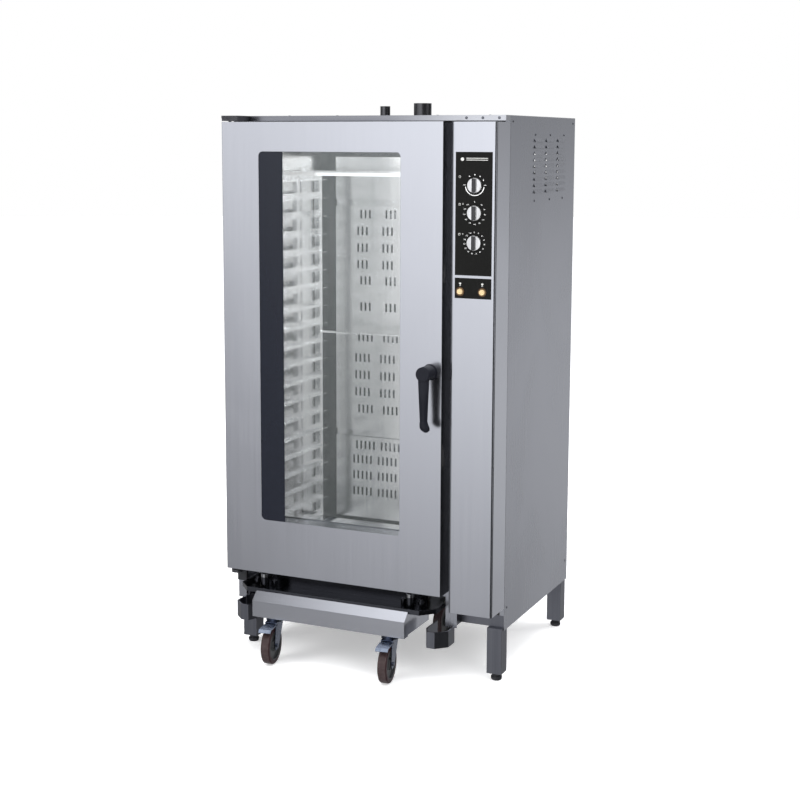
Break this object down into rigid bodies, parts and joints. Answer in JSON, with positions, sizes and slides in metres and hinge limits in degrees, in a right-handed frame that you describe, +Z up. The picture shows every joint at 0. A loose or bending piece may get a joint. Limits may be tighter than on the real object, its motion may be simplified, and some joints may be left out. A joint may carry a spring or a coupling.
{
  "type": "combi steamer oven",
  "caption": "Tall floor standing combi steamer oven with a glazed door, side control column, louvred casing, vent stacks and a roll-in tray trolley under the door.",
  "frame": {"origin": "on the floor, under the middle of the whole outline", "axes": "+Z up, -Y is the door side, +X towards the control column"},
  "size_m": [0.9664, 0.9039, 1.855],
  "materials": {
    "stainless_front": "vertical brushed grain, satin",
    "stainless_side": "fine brushed grain, satin",
    "stainless_bright": "bright annealed",
    "galvanised": "zinc coated sheet",
    "zinc": "bright zinc plate",
    "dark_steel": "dark satin",
    "window_glass": "clear",
    "black_film": "semi gloss printed film",
    "handle_plastic": "moulded, fine texture",
    "knob_metal": "satin plated",
    "button_plastic": "beige",
    "switch_plastic": "amber and black",
    "silicone": "matt",
    "mineral_wool": "matt fibre",
    "tread": "dark red tread on a grey hub",
    "foot_plastic": "dark grey"
  },
  "bodies": {
    "oven": {"side_panel_right": "stainless_side", "side_panel_left": "stainless_side", "rear_panel": "stainless_side", "top_panel": "stainless_side", "top_front_trim": "stainless_front", "base_frame": "galvanised", "legs": "stainless_side", "levelling_feet": "foot_plastic", "panel_screws": "stainless_bright", "front_frame": "stainless_side", "door_gasket": "silicone", "hinge_brackets": "dark_steel", "latch_keeper": "stainless_bright", "control_fascia": "stainless_front", "control_overlays": "black_film", "rotary_switches": "switch_plastic", "button_switches": "switch_plastic", "cavity_liner": "stainless_bright", "fan_baffle_lower": "stainless_bright", "fan_baffle_middle": "stainless_bright", "fan_baffle_upper": "stainless_bright", "insulation": "mineral_wool", "fan_motors": "galvanised", "heating_elements": "dark_steel", "vent_stacks": "dark_steel", "cavity_lamps": "window_glass", "steam_generator": "stainless_bright", "service_fittings": "stainless_bright", "electrical_tray": "galvanised", "trolley_guides": "stainless_side"},
    "door": {"door_outer_skin": "stainless_front", "door_inner_panel": "stainless_side", "outer_glass": "window_glass", "inner_glass": "window_glass", "window_spacer": "stainless_side", "hinge_bushes": "foot_plastic"},
    "handle": {"door_handle": "handle_plastic", "handle_spindle": "stainless_bright"},
    "mode_knob": {"mode_knob": "knob_metal"},
    "temperature_knob": {"temperature_knob": "knob_metal"},
    "timer_knob": {"timer_knob": "knob_metal"},
    "left_button": {"left_button": "button_plastic"},
    "right_button": {"right_button": "button_plastic"},
    "fan_lower": {"fan_wheel_lower": "stainless_side"},
    "fan_middle": {"fan_wheel_middle": "stainless_side"},
    "fan_upper": {"fan_wheel_upper": "stainless_side"},
    "trolley": {"trolley_tray": "stainless_side", "trolley_apron": "stainless_front", "trolley_chassis": "stainless_side", "drip_pan": "stainless_bright", "rack_frame": "stainless_bright", "rack_runners": "stainless_bright"},
    "caster_left": {"caster_fork_left": "zinc"},
    "caster_right": {"caster_fork_right": "zinc"},
    "pedal_left": {"brake_pedal_left": "zinc"},
    "pedal_right": {"brake_pedal_right": "zinc"},
    "front_wheel_left": {"front_wheel_left": "tread"},
    "front_wheel_right": {"front_wheel_right": "tread"},
    "rear_wheel_left": {"rear_wheel_left": "tread"},
    "rear_wheel_right": {"rear_wheel_right": "tread"}
  },
  "joints": [
    {"name": "door_hinge", "type": "hinge", "parent": "oven", "child": "door", "pos_m": [-0.4698, -0.302, 0.29], "axis": [0, 0, -1], "range_deg": [0, 180]},
    {"name": "handle_turn", "type": "hinge", "parent": "door", "child": "handle", "pos_m": [0.2642, -0.366, 1.012], "axis": [0, 1, 0], "range_deg": [0, 90]},
    {"name": "trolley_roll", "type": "slide", "parent": "oven", "child": "trolley", "axis": [0, -1, 0], "range_m": [0, 0.503]},
    {"name": "mode_turn", "type": "hinge", "parent": "oven", "child": "mode_knob", "pos_m": [0.4082, -0.346, 1.595], "axis": [0, 1, 0], "range_deg": [0, 270]},
    {"name": "temperature_turn", "type": "hinge", "parent": "oven", "child": "temperature_knob", "pos_m": [0.4082, -0.346, 1.511], "axis": [0, 1, 0], "range_deg": [0, 300]},
    {"name": "timer_turn", "type": "hinge", "parent": "oven", "child": "timer_knob", "pos_m": [0.4082, -0.346, 1.42], "axis": [0, 1, 0], "range_deg": [0, 310]},
    {"name": "left_button_press", "type": "slide", "parent": "oven", "child": "left_button", "axis": [0, 1, 0], "range_m": [0, 0.003], "stiffness_N_per_m": 400, "springref_m": -0.002},
    {"name": "right_button_press", "type": "slide", "parent": "oven", "child": "right_button", "axis": [0, 1, 0], "range_m": [0, 0.003], "stiffness_N_per_m": 400, "springref_m": -0.002},
    {"name": "fan_lower_spin", "type": "hinge", "parent": "oven", "child": "fan_lower", "pos_m": [-0.0718, 0.264, 0.52], "axis": [0, 1, 0], "continuous": true},
    {"name": "fan_middle_spin", "type": "hinge", "parent": "oven", "child": "fan_middle", "pos_m": [-0.0718, 0.264, 0.92], "axis": [0, 1, 0], "continuous": true},
    {"name": "fan_upper_spin", "type": "hinge", "parent": "oven", "child": "fan_upper", "pos_m": [-0.0718, 0.264, 1.35], "axis": [0, 1, 0], "continuous": true},
    {"name": "caster_left_swivel", "type": "hinge", "parent": "trolley", "child": "caster_left", "pos_m": [-0.2893, -0.348, 0.145], "axis": [0, 0, 1], "continuous": true},
    {"name": "front_wheel_left_roll", "type": "hinge", "parent": "caster_left", "child": "front_wheel_left", "pos_m": [-0.28401, -0.38563, 0.0625], "axis": [0.9903, 0.1392, 0], "continuous": true},
    {"name": "brake_left_press", "type": "hinge", "parent": "caster_left", "child": "pedal_left", "pos_m": [-0.28457, -0.38167, 0.131], "axis": [0.9903, 0.1392, 0], "range_deg": [0, 8]},
    {"name": "rear_wheel_left_roll", "type": "hinge", "parent": "trolley", "child": "rear_wheel_left", "pos_m": [-0.2893, 0.094, 0.0625], "axis": [1, 0, 0], "continuous": true},
    {"name": "caster_right_swivel", "type": "hinge", "parent": "trolley", "child": "caster_right", "pos_m": [0.1357, -0.348, 0.145], "axis": [0, 0, 1], "continuous": true},
    {"name": "front_wheel_right_roll", "type": "hinge", "parent": "caster_right", "child": "front_wheel_right", "pos_m": [0.14099, -0.38563, 0.0625], "axis": [0.9903, 0.1392, 0], "continuous": true},
    {"name": "brake_right_press", "type": "hinge", "parent": "caster_right", "child": "pedal_right", "pos_m": [0.14043, -0.38167, 0.131], "axis": [0.9903, 0.1392, 0], "range_deg": [0, 8]},
    {"name": "rear_wheel_right_roll", "type": "hinge", "parent": "trolley", "child": "rear_wheel_right", "pos_m": [0.1357, 0.094, 0.0625], "axis": [1, 0, 0], "continuous": true}
  ],
  "couplings": [
    {"joint": "trolley_roll", "follows": "door_hinge", "m_per_rad": 0.16}
  ]
}
